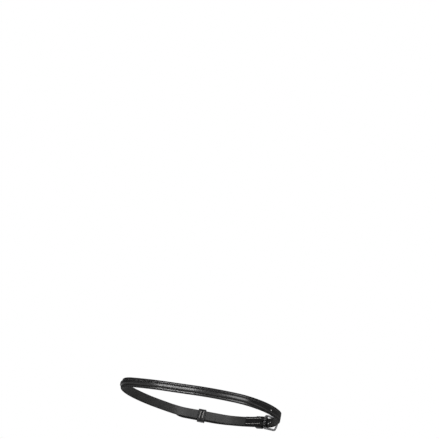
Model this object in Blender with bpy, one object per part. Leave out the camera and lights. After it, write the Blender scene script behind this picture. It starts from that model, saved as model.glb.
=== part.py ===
"""Flash strap: a narrow leather strap that is buckled into a ring round the muzzle.

The ring lies in the XY plane. X runs along its long side, Y from the nose to the chin and Z across the
strap's width, up the nose. The origin is on the flat inner face over the nose, where the strap is held.
Lengths are in metres. The strap is traced along its flesh side, and the leather lies to the right of
that line on the way from the bar along the chin, the left side, the nose and the right side, through
the buckle and on to the pointed tip.
"""

import math

import bmesh
import bpy
from mathutils import Vector

# Ring
RING_LENGTH = 0.219
RING_DEPTH = 0.122
SEAT_LENGTH = 0.019
SEAT_SLOPE = math.radians(-13.5)

# Strap
STRAP_WIDTH = 0.0129
STRAP_THICKNESS = 0.0026
CHAPE_THICKNESS = 0.0022
SKIVED_THICKNESS = 0.0009
TIP_THICKNESS = 0.0017
RAISED_THICKNESS = 0.0030
RAISE_HEIGHT = 0.0020
EDGE_ROUND = 0.0006
CREASE_INSET = 0.0030
CREASE_WIDTH = 0.0008
CREASE_DEPTH = 0.0004
LAYER_GAP = 0.0003
CHAPE_RUN = 0.031
TURN_BACK_LENGTH = 0.0305
PLY_CLOSING_LENGTH = 0.027
BILLET_OVERLAP = 0.137
TIP_LENGTH = 0.015
CROSSING_LEG = 0.0088
# The billet's free end hangs lower and lower, from one length past the bar to another
BILLET_DROP = 0.0012
DROP_START = 0.050
DROP_END = 0.080

# Billet holes
HOLE_LENGTH = 0.0038
HOLE_WIDTH = 0.0028
USED_HOLE_LENGTH = 0.0062
USED_HOLE_WIDTH = 0.0032
HOLE_PITCH = 0.0224
HOLES_BEFORE_BUCKLE = 3
HOLES_AFTER_BUCKLE = 5
PUNCH_OVERRUN = 0.0002

# Buckle
BAR_RADIUS = 0.00125
BAR_GAP = 0.0003
WIRE_RADIUS = 0.0013
SIDE_WIDTH = 0.0029
SIDE_DEPTH = 0.0037
FRAME_OPENING = 0.0146
FRAME_SIDE = 0.0162
FRAME_BOW = 0.0013
FRAME_CORNER = 0.0021
BAR_CORNER = 0.0017
FRAME_ANGLE = math.radians(2.0)
TONGUE_WIDTH = 0.0022
TONGUE_THICKNESS = 0.0016
TONGUE_OVERHANG = 0.0006
TONGUE_SIDE_GAP = 0.0004

# Keepers
KEEPER_THICKNESS = 0.0015
KEEPER_GAP = 0.0004
FIXED_KEEPER_LENGTH = 0.0098
FIXED_KEEPER_START = 0.0046
FOOT_LENGTH = 0.0036
FOOT_THICKNESS = 0.0010
RUNNER_LENGTH = 0.0108
RUNNER_PLACE = 0.0221
RUNNER_JOIN_GAP = 0.0003
KEEPER_CORNER = 0.0012

# Thread
THREAD_RADIUS = 0.00030
THREAD_GAP = 0.00015
STITCH_INSET = 0.0026
STITCH_PITCH = 0.0028
STITCH_ROW_START = 0.0046
STITCH_COUNT = 9
JOIN_THREAD_RADIUS = 0.00040
JOIN_STITCH_LENGTH = 0.0105
JOIN_STITCH_SPACING = 0.0040
JOIN_STITCH_LEAN = 0.0010

# How finely curves are stepped
TURN_STEP = math.radians(8.0)
STRAIGHT_TURN = math.radians(1.0)
LONGEST_STEP = 0.015
TURN_BACK_STEPS = 8
FOLD_STEPS = 12
CORNER_STEPS = 4
BOW_STEPS = 4
WIRE_SIDES = 12
HOLE_SIDES = 16
EYE_SIDES = 20
THREAD_SIDES = 6
SKIVE_STATIONS = 3
SHARP_ANGLE = math.radians(50.0)

# Corners of the route as shares of the ring's length and depth, from the origin
BAR_SHARES = (0.6338, 0.546)
CHIN_RIGHT_SHARES = (0.432, 0.794)
CHIN_LEFT_SHARES = (0.0895, 0.863)
LEFT_SHARES = (
    (-0.034, 0.7635),
    (-0.1375, 0.657),
    (-0.2475, 0.479),
    (-0.292, 0.2915),
    (-0.270, 0.170),
    (-0.189, 0.106),
)
RIGHT_SHARES = (
    (0.2175, -0.098),
    (0.3635, -0.124),
    (0.475, -0.117),
    (0.609, -0.010),
    (0.7045, 0.205),
    (0.700, 0.3535),
)
RUN_START_SHARE = 0.32
RUN_END_SHARE = 0.73

# Where the raised stretch starts, is full, starts to fall and ends, along the ring
RAISED_SHARES = (0.29, 0.36, 0.79, 0.85)
# Where a thread's sections lie along one stitch, and their share of its radius
STITCH_SHARES = ((0.0, 0.45), (0.16, 1.0), (0.72, 1.0), (0.88, 0.45))
BAR_STITCH_SHARES = ((0.0, 0.45), (0.08, 1.0), (0.92, 1.0), (1.0, 0.45))
TIP_WIDTH_SHARES = ((0.0, 0.10), (0.10, 0.40), (0.28, 0.64), (0.55, 0.86), (0.80, 0.97), (1.0, 1.0))
TONGUE_SHARES = ((0.0, 1.0), (0.80, 1.0), (0.93, 0.82), (0.985, 0.55), (1.0, 0.30))
TONGUE_EDGE_SHARE = 0.25
ROUNDING_SHARE = 0.33
SHOULDER_SHARE = 0.85
PLAIN_CREASE_SHARE = 0.5
SQUARE_SHARE = 0.5

LEATHER = (0.012, 0.011, 0.011)
STEEL = (0.62, 0.62, 0.63)
THREAD = (0.30, 0.29, 0.28)


def ahead_of(heading):
    return Vector((math.cos(heading), math.sin(heading), 0.0))


def right_of(heading):
    return Vector((math.sin(heading), -math.cos(heading), 0.0))


def place(origin, heading, along, out, up):
    """The point that lies along a heading, out to its right and up from an origin."""
    return origin + ahead_of(heading) * along + right_of(heading) * out + Vector((0.0, 0.0, up))


def ring_point(shares):
    return Vector((shares[0] * RING_LENGTH, shares[1] * RING_DEPTH, 0.0))


def smooth(share):
    share = min(1.0, max(0.0, share))
    return share * share * (3.0 - 2.0 * share)


def heading_of(step):
    return math.atan2(step.y, step.x)


# Route

BAR = ring_point(BAR_SHARES)
FOLD_RADIUS = BAR_RADIUS + BAR_GAP
PLAIN_CREASE = CREASE_DEPTH * PLAIN_CREASE_SHARE
CHIN_RIGHT = ring_point(CHIN_RIGHT_SHARES)
CHIN_LEFT = ring_point(CHIN_LEFT_SHARES)
CHAPE_HEADING = heading_of(CHIN_RIGHT - BAR) + math.asin(FOLD_RADIUS / (CHIN_RIGHT - BAR).length)
CHAPE_START = place(BAR, CHAPE_HEADING, 0.0, FOLD_RADIUS, 0.0)
CHAPE_END = place(CHAPE_START, CHAPE_HEADING, CHAPE_RUN, 0.0, 0.0)
BILLET_OFFSET = CHAPE_THICKNESS + LAYER_GAP
CROSSING_END = place(CHAPE_START, CHAPE_HEADING, 0.0, BILLET_OFFSET, 0.0)
CROSSING_CORNER = place(CROSSING_END, CHAPE_HEADING, -CROSSING_LEG, 0.0, 0.0)


def route_corners():
    """Corners that the ring's flesh side is rounded from, with straight runs at the runner and seat."""
    run_start = CHIN_RIGHT.lerp(CHIN_LEFT, RUN_START_SHARE)
    run_end = CHIN_RIGHT.lerp(CHIN_LEFT, RUN_END_SHARE)
    seat = [ahead_of(SEAT_SLOPE) * (side * SEAT_LENGTH) for side in (-1.0, 0.0, 1.0)]
    return (
        [CHAPE_END, CHIN_RIGHT, run_start, run_end, CHIN_LEFT]
        + [ring_point(shares) for shares in LEFT_SHARES]
        + seat
        + [ring_point(shares) for shares in RIGHT_SHARES]
        + [CROSSING_CORNER, CROSSING_END]
    )


def rounded(corners):
    """Points and headings along corners rounded to meet the middle of each side."""
    stations = []
    last = len(corners) - 2
    for index in range(1, last + 1):
        before, corner, after = corners[index - 1 : index + 2]
        start = before if index == 1 else before.lerp(corner, 0.5)
        end = after if index == last else corner.lerp(after, 0.5)
        turn = abs((corner - start).angle(end - corner, 0.0))
        length = (corner - start).length + (end - corner).length
        steps = 1
        if turn > STRAIGHT_TURN:
            steps = max(2, math.ceil(turn / TURN_STEP), math.ceil(length / LONGEST_STEP))
        for step in range(1 if stations else 0, steps + 1):
            share = step / steps
            point = start.lerp(corner, share).lerp(corner.lerp(end, share), share)
            stations.append((point, heading_of((corner - start).lerp(end - corner, share))))
    return stations


def lengths_along(stations):
    lengths = [0.0]
    for (here, _), (there, _) in zip(stations, stations[1:]):
        lengths.append(lengths[-1] + (there - here).length)
    return lengths


RING = [(CHAPE_START, CHAPE_HEADING)] + rounded(route_corners())
RING_LENGTHS = lengths_along(RING)
RING_TOTAL = RING_LENGTHS[-1]


def thickness_at(length):
    """Thickness at the edges, along the ring from the bar."""
    joined = smooth(length / CHAPE_RUN)
    plain = CHAPE_THICKNESS + (STRAP_THICKNESS - CHAPE_THICKNESS) * joined
    return plain + (RAISED_THICKNESS - STRAP_THICKNESS) * raised_at(length)


def raised_at(length):
    """How far the middle is raised, from 0 to 1, along the ring from the bar."""
    rise, full, fall, end = (share * RING_TOTAL for share in RAISED_SHARES)
    return smooth((length - rise) / (full - rise)) * smooth((end - length) / (end - fall))


def ply_opening(length):
    """The gap between the chape's two plies, which close on each other away from the bar."""
    open_at_bar = 2.0 * FOLD_RADIUS
    return open_at_bar + (LAYER_GAP - open_at_bar) * smooth(length / PLY_CLOSING_LENGTH)


def turned_thickness(length):
    share = smooth(length / TURN_BACK_LENGTH)
    return CHAPE_THICKNESS + (SKIVED_THICKNESS - CHAPE_THICKNESS) * share


def tip_share(from_tip):
    """The share of the full width at a distance from the pointed tip."""
    share = min(1.0, from_tip / TIP_LENGTH)
    for (low, narrow), (high, wide) in zip(TIP_WIDTH_SHARES, TIP_WIDTH_SHARES[1:]):
        if share <= high:
            return narrow + (wide - narrow) * (share - low) / (high - low)
    return 1.0


def station_at(stations, lengths, length):
    """Point and heading at a length, between stations."""
    for index in range(len(lengths) - 1):
        if length <= lengths[index + 1] or index == len(lengths) - 2:
            (here, first), (there, second) = stations[index : index + 2]
            share = (length - lengths[index]) / (lengths[index + 1] - lengths[index])
            turn = (second - first + math.pi) % (2.0 * math.pi) - math.pi
            return here.lerp(there, share), first + turn * share
    return stations[-1]


# Mesh building


def section(half_width, thickness, raised, crease):
    """Outline of the strap: width up and down, and distance out from the flesh side."""
    scale = half_width / (STRAP_WIDTH / 2.0)
    edge = EDGE_ROUND * scale
    rounding = min(EDGE_ROUND, thickness * ROUNDING_SHARE)
    inset = CREASE_INSET * scale
    groove = CREASE_WIDTH / 2.0 * scale
    middle = (half_width - inset - groove) / 2.0
    dome = RAISE_HEIGHT * raised
    side = [
        (half_width - edge, 0.0),
        (half_width, rounding),
        (half_width, thickness - rounding),
        (half_width - edge, thickness),
        (half_width - inset + groove, thickness),
        (half_width - inset, thickness - crease),
        (half_width - inset - groove, thickness),
        (middle, thickness + dome * SHOULDER_SHARE),
    ]
    mirrored = [(-up, out) for up, out in reversed(side)]
    return side + [(0.0, thickness + dome)] + mirrored


def make_object(name, builder, material=None, origin=Vector(), heading=0.0):
    """An object at an origin, turned to a heading, with rounded faces smooth and the mesh facing out."""
    bmesh.ops.recalc_face_normals(builder, faces=builder.faces)
    if builder.calc_volume(signed=True) < 0.0:
        bmesh.ops.reverse_faces(builder, faces=builder.faces)
    mesh = bpy.data.meshes.new(name)
    builder.to_mesh(mesh)
    builder.free()
    mesh.shade_smooth()
    mesh.set_sharp_from_angle(angle=SHARP_ANGLE)
    body = bpy.data.objects.new(name, mesh)
    body.location = origin
    body.rotation_euler.z = heading
    bpy.context.scene.collection.objects.link(body)
    if material:
        mesh.materials.append(material)
    return body


def skin(rings, closed=False):
    """A mesh of faces between rings of points, with a face across each end unless the rings close."""
    builder = bmesh.new()
    rows = [[builder.verts.new(point) for point in ring] for ring in rings]
    pairs = list(zip(rows, rows[1:]))
    if closed:
        pairs.append((rows[-1], rows[0]))
    for here, there in pairs:
        for index in range(len(here)):
            after = (index + 1) % len(here)
            builder.faces.new((here[index], here[after], there[after], there[index]))
    if not closed:
        builder.faces.new(rows[0])
        builder.faces.new(rows[-1])
    return builder


def round_ring(centre, first, second, radius, sides):
    """Points of a circle spanned by two unit vectors."""
    return [
        centre
        + first * (radius * math.cos(2.0 * math.pi * side / sides))
        + second * (radius * math.sin(2.0 * math.pi * side / sides))
        for side in range(sides)
    ]


def material(name, colour, roughness, metallic=0.0):
    made = bpy.data.materials.new(name)
    made.use_nodes = True
    shader = made.node_tree.nodes["Principled BSDF"]
    shader.inputs["Base Color"].default_value = (*colour, 1.0)
    shader.inputs["Roughness"].default_value = roughness
    shader.inputs["Metallic"].default_value = metallic
    return made


def cut(body, cutter, operation="DIFFERENCE"):
    """A Boolean with a helper object that is left out of the build."""
    cutter.hide_render = True
    cutter.display_type = "WIRE"
    modifier = body.modifiers.new(cutter.name, "BOOLEAN")
    modifier.operation = operation
    modifier.solver = "EXACT"
    modifier.object = cutter


# Strap


def turned_back_rings():
    """The chape's turned-back ply, from its skived end to the bar."""
    small = TURN_BACK_LENGTH / TURN_BACK_STEPS
    rings = []
    for step in range(TURN_BACK_STEPS + 1):
        length = TURN_BACK_LENGTH - step * small
        heading = CHAPE_HEADING + math.pi
        if step < TURN_BACK_STEPS:
            rise = ply_opening(length + small) - ply_opening(length - small)
            heading += math.atan(rise / (2.0 * small))
        point = place(CHAPE_START, CHAPE_HEADING, length, -ply_opening(length), 0.0)
        outline = section(STRAP_WIDTH / 2.0, turned_thickness(length), 0.0, PLAIN_CREASE)
        rings.append([place(point, heading, 0.0, out, up) for up, out in outline])
    return rings


def fold_rings():
    """The fold round the bar, between the two plies."""
    outline = section(STRAP_WIDTH / 2.0, CHAPE_THICKNESS, 0.0, PLAIN_CREASE)
    rings = []
    for step in range(1, FOLD_STEPS):
        heading = CHAPE_HEADING + math.pi * (1.0 + step / FOLD_STEPS)
        rings.append([place(BAR, heading, 0.0, FOLD_RADIUS + out, up) for up, out in outline])
    return rings


def ring_rings():
    """The single strap from the bar round to where it crosses the buckle."""
    rings = []
    for (point, heading), length in zip(RING, RING_LENGTHS):
        raised = raised_at(length)
        crease = PLAIN_CREASE + (CREASE_DEPTH - PLAIN_CREASE) * raised
        outline = section(STRAP_WIDTH / 2.0, thickness_at(length), raised, crease)
        rings.append([place(point, heading, 0.0, out, up) for up, out in outline])
    return rings


def billet_lengths():
    """Lengths past the bar that have a section: those of the ply below, and more at the tip."""
    full = BILLET_OVERLAP - TIP_LENGTH
    lengths = [length for length in RING_LENGTHS[1:] if length < full - STRAP_THICKNESS]
    tips = [full + TIP_LENGTH * (1.0 - share) for share, _ in reversed(TIP_WIDTH_SHARES)]
    return lengths + tips


def billet_drop(length):
    """How far the billet hangs below the ply that it lies over, at a length past the bar."""
    return BILLET_DROP * smooth((length - DROP_START) / (DROP_END - DROP_START))


def billet_rings():
    """The billet over the chape and the chin, to its pointed tip."""
    rings = []
    for length in billet_lengths():
        point, heading = station_at(RING, RING_LENGTHS, length)
        under = thickness_at(length) + LAYER_GAP
        from_tip = BILLET_OVERLAP - length
        half_width = STRAP_WIDTH / 2.0 * tip_share(from_tip)
        thinned = smooth(from_tip / TIP_LENGTH)
        thickness = TIP_THICKNESS + (STRAP_THICKNESS - TIP_THICKNESS) * thinned
        outline = section(half_width, thickness, 0.0, PLAIN_CREASE)
        drop = billet_drop(length)
        rings.append([place(point, heading, 0.0, under + out, up - drop) for up, out in outline])
    return rings


def punched_core(length, low, high, hole_length, hole_width):
    """A punched hole's core, square to the leather, from a low to a high distance out."""
    point, heading = station_at(RING, RING_LENGTHS, length)
    straight = (hole_length - hole_width) / 2.0
    outline = []
    for side in range(HOLE_SIDES):
        angle = 2.0 * math.pi * (side + 0.5) / HOLE_SIDES
        along = hole_width / 2.0 * math.cos(angle) + math.copysign(straight, math.cos(angle))
        outline.append((along, hole_width / 2.0 * math.sin(angle)))
    rings = [[place(Vector(), 0.0, along, out, up) for along, up in outline] for out in (low, high)]
    return skin(rings), point, heading


def tongue_heading():
    """Heading of the tongue from the bar, so that its shaft lies over the far bar."""
    reach = FRAME_SIDE + FRAME_BOW
    lift = WIRE_RADIUS + BAR_GAP + TONGUE_THICKNESS / 2.0
    return FRAME_ANGLE + math.atan2(lift, reach)


def used_hole_length():
    """How far along the ring the tongue passes through the leather."""
    shaft = ahead_of(tongue_heading())
    for (here, first), (there, _), near, far in zip(
        reversed(RING[:-1]), reversed(RING[1:]), reversed(RING_LENGTHS[:-1]), reversed(RING_LENGTHS[1:])
    ):
        middle = STRAP_THICKNESS / 2.0
        start = place(here, first, 0.0, middle, 0.0) - BAR
        end = place(there, first, 0.0, middle, 0.0) - BAR
        side_start = shaft.x * start.y - shaft.y * start.x
        side_end = shaft.x * end.y - shaft.y * end.x
        if side_start * side_end <= 0.0 and start.dot(shaft) > 0.0:
            return near + (far - near) * side_start / (side_start - side_end)
    return RING_TOTAL


def punch_holes(body):
    """The billet's punched holes. The tongue has drawn out the one that it goes through."""
    used = used_hole_length()
    for index in range(-HOLES_BEFORE_BUCKLE, HOLES_AFTER_BUCKLE + 1):
        length = used + index * HOLE_PITCH
        low = -PUNCH_OVERRUN
        drop = 0.0
        if length > RING_TOTAL:
            length -= RING_TOTAL
            low = thickness_at(length) + LAYER_GAP - PUNCH_OVERRUN
            drop = billet_drop(length)
        high = low + STRAP_THICKNESS + RAISE_HEIGHT + 2.0 * PUNCH_OVERRUN
        size = (HOLE_LENGTH, HOLE_WIDTH) if index else (USED_HOLE_LENGTH, USED_HOLE_WIDTH)
        core, point, heading = punched_core(length, low, high, *size)
        point = place(point, heading, 0.0, 0.0, -drop)
        cut(body, make_object(f"punch_{index + HOLES_BEFORE_BUCKLE}", core, None, point, heading))


def cut_slot(body):
    """The slot through the fold that the tongue's eye sits and swings in."""
    eye_radius = BAR_RADIUS + BAR_GAP + TONGUE_THICKNESS
    back = eye_radius + TONGUE_SIDE_GAP
    front = -(FOLD_RADIUS + CHAPE_THICKNESS + EDGE_ROUND)
    high = FOLD_RADIUS + CHAPE_THICKNESS + PUNCH_OVERRUN
    slope = FOLD_RADIUS + EDGE_ROUND
    half = TONGUE_WIDTH / 2.0 + TONGUE_SIDE_GAP
    corners = ((front, front), (back, front), (back, high), (-slope, high), (front, slope))
    rings = [[place(Vector(), 0.0, along, out, up) for along, out in corners] for up in (-half, half)]
    cut(body, make_object("fold_slot", skin(rings), None, BAR, CHAPE_HEADING))


def make_strap():
    rings = turned_back_rings() + fold_rings() + ring_rings() + billet_rings()
    body = make_object("strap", skin(rings), material("leather", LEATHER, 0.42))
    punch_holes(body)
    cut_slot(body)


# Buckle


def frame_path():
    """Centre line of the frame: along the bar, a side, the bowed far bar and the other side."""
    half = (FRAME_OPENING + SIDE_WIDTH) / 2.0
    corner = FRAME_CORNER
    reach = FRAME_SIDE + FRAME_BOW
    points = []
    for step in range(CORNER_STEPS + 1):
        angle = math.pi / 2.0 * step / CORNER_STEPS
        points.append((BAR_CORNER * (1.0 - math.cos(angle)), half - BAR_CORNER * (1.0 - math.sin(angle))))
    for step in range(CORNER_STEPS + 1):
        angle = math.pi / 2.0 * step / CORNER_STEPS
        along = FRAME_SIDE - corner * (1.0 - math.sin(angle))
        points.append((along, half - corner * (1.0 - math.cos(angle))))
    bow_half = half - corner
    for step in range(1, BOW_STEPS + 1):
        up = bow_half * (1.0 - step / BOW_STEPS)
        points.append((reach - FRAME_BOW * (up / bow_half) ** 2, up))
    mirrored = [(along, -up) for along, up in reversed(points[:-1])]
    return points + mirrored


def frame_ring(point, tangent, across):
    """A section of the frame: round on both bars, and deeper and squarer on the sides."""
    side = tangent.x * tangent.x
    bar = BAR_RADIUS if point.x < BAR_CORNER else WIRE_RADIUS
    width = bar + (SIDE_WIDTH / 2.0 - bar) * side
    depth = bar + (SIDE_DEPTH / 2.0 - bar) * side
    power = 1.0 + (SQUARE_SHARE - 1.0) * side
    ring = []
    for number in range(WIRE_SIDES):
        angle = 2.0 * math.pi * (number + 0.5) / WIRE_SIDES
        deep = math.copysign(abs(math.cos(angle)) ** power, math.cos(angle)) * depth
        wide = math.copysign(abs(math.sin(angle)) ** power, math.sin(angle)) * width
        ring.append(point + across * deep + tangent.cross(across) * wide)
    return ring


def make_buckle_frame():
    path = [Vector((along, 0.0, up)) for along, up in frame_path()]
    across = Vector((0.0, 1.0, 0.0))
    rings = []
    for index, point in enumerate(path):
        before = (point - path[index - 1]).normalized()
        after = (path[(index + 1) % len(path)] - point).normalized()
        rings.append(frame_ring(point, (before + after).normalized(), across))
    body = skin(rings, closed=True)
    make_object("buckle_frame", body, material("steel", STEEL, 0.2, 1.0), BAR, FRAME_ANGLE)


def make_buckle_tongue():
    """The tongue: an eye round the bar, and a shaft that lies over the far bar."""
    eye_inner = BAR_RADIUS + BAR_GAP
    eye_outer = eye_inner + TONGUE_THICKNESS
    half = TONGUE_WIDTH / 2.0
    round_edge = TONGUE_THICKNESS * TONGUE_EDGE_SHARE
    start = (eye_inner + eye_outer) / 2.0
    reach = FRAME_SIDE + FRAME_BOW + WIRE_RADIUS + TONGUE_OVERHANG
    rings = []
    for share, size in TONGUE_SHARES:
        along = start + (reach - start) * share
        wide = half * size
        thick = TONGUE_THICKNESS / 2.0 * size
        edge = round_edge * size
        outline = [
            (thick, wide - edge), (thick, edge - wide), (thick - edge, -wide), (edge - thick, -wide),
            (-thick, edge - wide), (-thick, wide - edge), (edge - thick, wide), (thick - edge, wide),
        ]
        rings.append([place(Vector(), 0.0, along, out, up) for out, up in outline])
    steel = material("tongue_steel", STEEL, 0.22, 1.0)
    body = make_object("buckle_tongue", skin(rings), steel, BAR, tongue_heading())
    rings = []
    for side in range(EYE_SIDES):
        angle = 2.0 * math.pi * (side + 0.5) / EYE_SIDES
        outline = [
            (eye_inner, -half), (eye_outer - round_edge, -half), (eye_outer, round_edge - half),
            (eye_outer, half - round_edge), (eye_outer - round_edge, half), (eye_inner, half),
        ]
        rings.append([place(Vector(), angle, away, 0.0, up) for away, up in outline])
    eye = make_object("tongue_eye", skin(rings, closed=True), steel, BAR, tongue_heading())
    cut(body, eye, "UNION")


# Keepers and thread


def corner_points(centre_up, centre_out, radius, first, last):
    """Points of an arc between two angles."""
    points = []
    for step in range(CORNER_STEPS + 1):
        angle = first + (last - first) * step / CORNER_STEPS
        points.append((centre_up + radius * math.cos(angle), centre_out + radius * math.sin(angle)))
    return points


def make_fixed_keeper():
    """The loop beside the buckle: over the billet, down past both edges and in between the plies."""
    foot_out = FOLD_RADIUS - LAYER_GAP - FOOT_THICKNESS / 2.0
    billet_face = FOLD_RADIUS + CHAPE_THICKNESS + LAYER_GAP + STRAP_THICKNESS
    top = billet_face + KEEPER_GAP + KEEPER_THICKNESS / 2.0
    leg = STRAP_WIDTH / 2.0 + KEEPER_GAP + KEEPER_THICKNESS / 2.0
    radius = KEEPER_CORNER
    half_path = (
        [(leg - FOOT_LENGTH - radius, foot_out)]
        + corner_points(leg - radius, foot_out + radius, radius, -math.pi / 2.0, 0.0)
        + corner_points(leg - radius, top - radius, radius, 0.0, math.pi / 2.0)
    )
    path = half_path + [(-up, out) for up, out in reversed(half_path)]
    start = place(BAR, CHAPE_HEADING, FIXED_KEEPER_START, 0.0, 0.0)
    rings = []
    for index in range(len(path)):
        from_end = min(index, len(path) - 1 - index)
        grown = min(1.0, max(0.0, (from_end - 1) / SKIVE_STATIONS))
        thickness = FOOT_THICKNESS + (KEEPER_THICKNESS - FOOT_THICKNESS) * grown
        ring = strip_outline(path, index, thickness, FIXED_KEEPER_LENGTH)
        rings.append([place(Vector(), 0.0, along, out, up) for along, out, up in ring])
    leather = material("keeper_leather", LEATHER, 0.5)
    make_object("fixed_keeper", skin(rings), leather, start, CHAPE_HEADING)


def strip_outline(path, index, thickness, length):
    """Outline across a strip that is bent along a path: distances along, out and up."""
    before = path[max(0, index - 1)]
    after = path[min(len(path) - 1, index + 1)]
    up, out = path[index]
    step = Vector((after[0] - before[0], after[1] - before[1])).normalized()
    half = thickness / 2.0
    edge = min(EDGE_ROUND, thickness * ROUNDING_SHARE)
    outline = (
        (0.0, half - edge), (edge, half), (length - edge, half), (length, half - edge),
        (length, edge - half), (length - edge, -half), (edge, -half), (0.0, edge - half),
    )
    return [(along, out + step.x * away, up - step.y * away) for along, away in outline]


def runner_origin():
    """The flesh side under the runner's middle, on the straight run along the chin."""
    run_left = CHIN_RIGHT.lerp(CHIN_LEFT, (1.0 + RUN_END_SHARE) / 2.0)
    heading = heading_of(CHIN_LEFT - CHIN_RIGHT)
    return place(run_left, heading, -RUNNER_PLACE, 0.0, 0.0), heading


def make_runner_keeper():
    """The sliding loop round the chin strap and the lower billet, its ends butted on the inner face."""
    origin, heading = runner_origin()
    low = -(KEEPER_GAP + KEEPER_THICKNESS / 2.0)
    high = 2.0 * STRAP_THICKNESS + LAYER_GAP + KEEPER_GAP + KEEPER_THICKNESS / 2.0
    leg = STRAP_WIDTH / 2.0 + KEEPER_GAP + KEEPER_THICKNESS / 2.0
    radius = KEEPER_CORNER
    half_path = (
        [(RUNNER_JOIN_GAP / 2.0, low)]
        + corner_points(leg - radius, low + radius, radius, -math.pi / 2.0, 0.0)
        + corner_points(leg - radius, high - radius, radius, 0.0, math.pi / 2.0)
    )
    lower_half = [(-up - BILLET_DROP, out) for up, out in reversed(half_path[1:])]
    path = half_path + lower_half + [(-RUNNER_JOIN_GAP / 2.0, low)]
    start = Vector((-RUNNER_LENGTH / 2.0, 0.0, 0.0))
    rings = []
    for index in range(len(path)):
        ring = strip_outline(path, index, KEEPER_THICKNESS, RUNNER_LENGTH)
        rings.append([place(start, 0.0, along, out, up) for along, out, up in ring])
    leather = material("runner_leather", LEATHER, 0.5)
    make_object("runner_keeper", skin(rings), leather, origin, heading)


def thread_rings(beads):
    """Rings of a thread through points, each with its own radius."""
    rings = []
    for index, (centre, radius) in enumerate(beads):
        before = beads[max(0, index - 1)][0]
        after = beads[min(len(beads) - 1, index + 1)][0]
        step = (after - before).normalized()
        first = step.orthogonal() if abs(step.z) > 0.5 else step.cross(Vector((0.0, 0.0, 1.0)))
        first.normalize()
        second = step.cross(first)
        rings.append(round_ring(centre, first, second, radius, THREAD_SIDES))
    return rings


def make_chape_stitches(name, up):
    """One row of thread: a continuous strand along the turned-back ply's edge, drawn in at each hole."""
    beads = []
    for index in range(STITCH_COUNT):
        for share, size in STITCH_SHARES:
            along = STITCH_ROW_START + (index + share) * STITCH_PITCH
            face = ply_opening(along) + turned_thickness(along)
            radius = THREAD_RADIUS * size
            away = face + THREAD_GAP + radius
            beads.append((place(Vector(), 0.0, along, -away, up), radius))
    thread = material(name, THREAD, 0.7)
    make_object(name, skin(thread_rings(beads)), thread, CHAPE_START, CHAPE_HEADING)


def make_runner_stitch(name, side):
    """One long bar of thread across the runner's butted join."""
    origin, heading = runner_origin()
    face = KEEPER_GAP + KEEPER_THICKNESS + THREAD_GAP
    beads = []
    for share, size in BAR_STITCH_SHARES:
        radius = JOIN_THREAD_RADIUS * size
        along = side * JOIN_STITCH_SPACING / 2.0 + (0.5 - share) * JOIN_STITCH_LEAN
        up = (share - 0.5) * JOIN_STITCH_LENGTH
        beads.append((place(Vector(), 0.0, along, -(face + radius), up), radius))
    make_object(name, skin(thread_rings(beads)), material(name, THREAD, 0.7), origin, heading)


def main():
    for old in list(bpy.data.objects):
        bpy.data.objects.remove(old, do_unlink=True)
    make_strap()
    make_buckle_frame()
    make_buckle_tongue()
    make_fixed_keeper()
    make_runner_keeper()
    make_chape_stitches("chape_stitches_upper", STRAP_WIDTH / 2.0 - STITCH_INSET)
    make_chape_stitches("chape_stitches_lower", STITCH_INSET - STRAP_WIDTH / 2.0)
    make_runner_stitch("runner_stitch_left", 1.0)
    make_runner_stitch("runner_stitch_right", -1.0)


main()
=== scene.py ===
"""Looks of the flash strap: black leather, grey thread and dark steel.

Everything is in metres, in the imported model's frame. The ring lies in the XY plane, and Z runs across
the strap's width. Distances out are measured from the flesh side, to the right of the strap's heading.
"""

import bisect
import math

import bmesh
import bpy
from mathutils import Matrix, Vector, noise


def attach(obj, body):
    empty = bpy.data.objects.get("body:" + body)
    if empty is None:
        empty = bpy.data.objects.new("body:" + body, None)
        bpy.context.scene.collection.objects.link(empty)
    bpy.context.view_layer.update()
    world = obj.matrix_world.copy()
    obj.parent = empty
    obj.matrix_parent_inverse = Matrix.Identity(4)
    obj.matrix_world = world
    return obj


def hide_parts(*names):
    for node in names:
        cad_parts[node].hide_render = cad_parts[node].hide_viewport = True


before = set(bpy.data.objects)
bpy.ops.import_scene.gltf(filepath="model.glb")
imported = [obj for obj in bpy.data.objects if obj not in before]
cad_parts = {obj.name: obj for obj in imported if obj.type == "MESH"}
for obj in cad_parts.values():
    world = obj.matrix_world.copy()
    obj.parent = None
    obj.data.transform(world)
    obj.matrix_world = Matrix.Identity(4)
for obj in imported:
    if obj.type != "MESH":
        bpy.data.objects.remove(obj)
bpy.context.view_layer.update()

# Ring and strap, as in the part's source
RING_LENGTH = 0.219
RING_DEPTH = 0.122
SEAT_LENGTH = 0.019
SEAT_SLOPE = math.radians(-13.5)
STRAP_WIDTH = 0.0129
STRAP_THICKNESS = 0.0026
CHAPE_THICKNESS = 0.0022
SKIVED_THICKNESS = 0.0009
TIP_THICKNESS = 0.0017
RAISED_THICKNESS = 0.0030
RAISE_HEIGHT = 0.0020
CREASE_INSET = 0.0030
CREASE_DEPTH = 0.0004
LAYER_GAP = 0.0003
CHAPE_RUN = 0.031
TURN_BACK_LENGTH = 0.0305
PLY_CLOSING_LENGTH = 0.027
BILLET_OVERLAP = 0.137
TIP_LENGTH = 0.015
BILLET_DROP = 0.0012
DROP_START = 0.050
DROP_END = 0.080
CROSSING_LEG = 0.0088
HOLE_LENGTH = 0.0038
HOLE_WIDTH = 0.0028
USED_HOLE_LENGTH = 0.0062
USED_HOLE_WIDTH = 0.0032
HOLE_PITCH = 0.0224
HOLES_BEFORE_BUCKLE = 3
HOLES_AFTER_BUCKLE = 5

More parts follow.
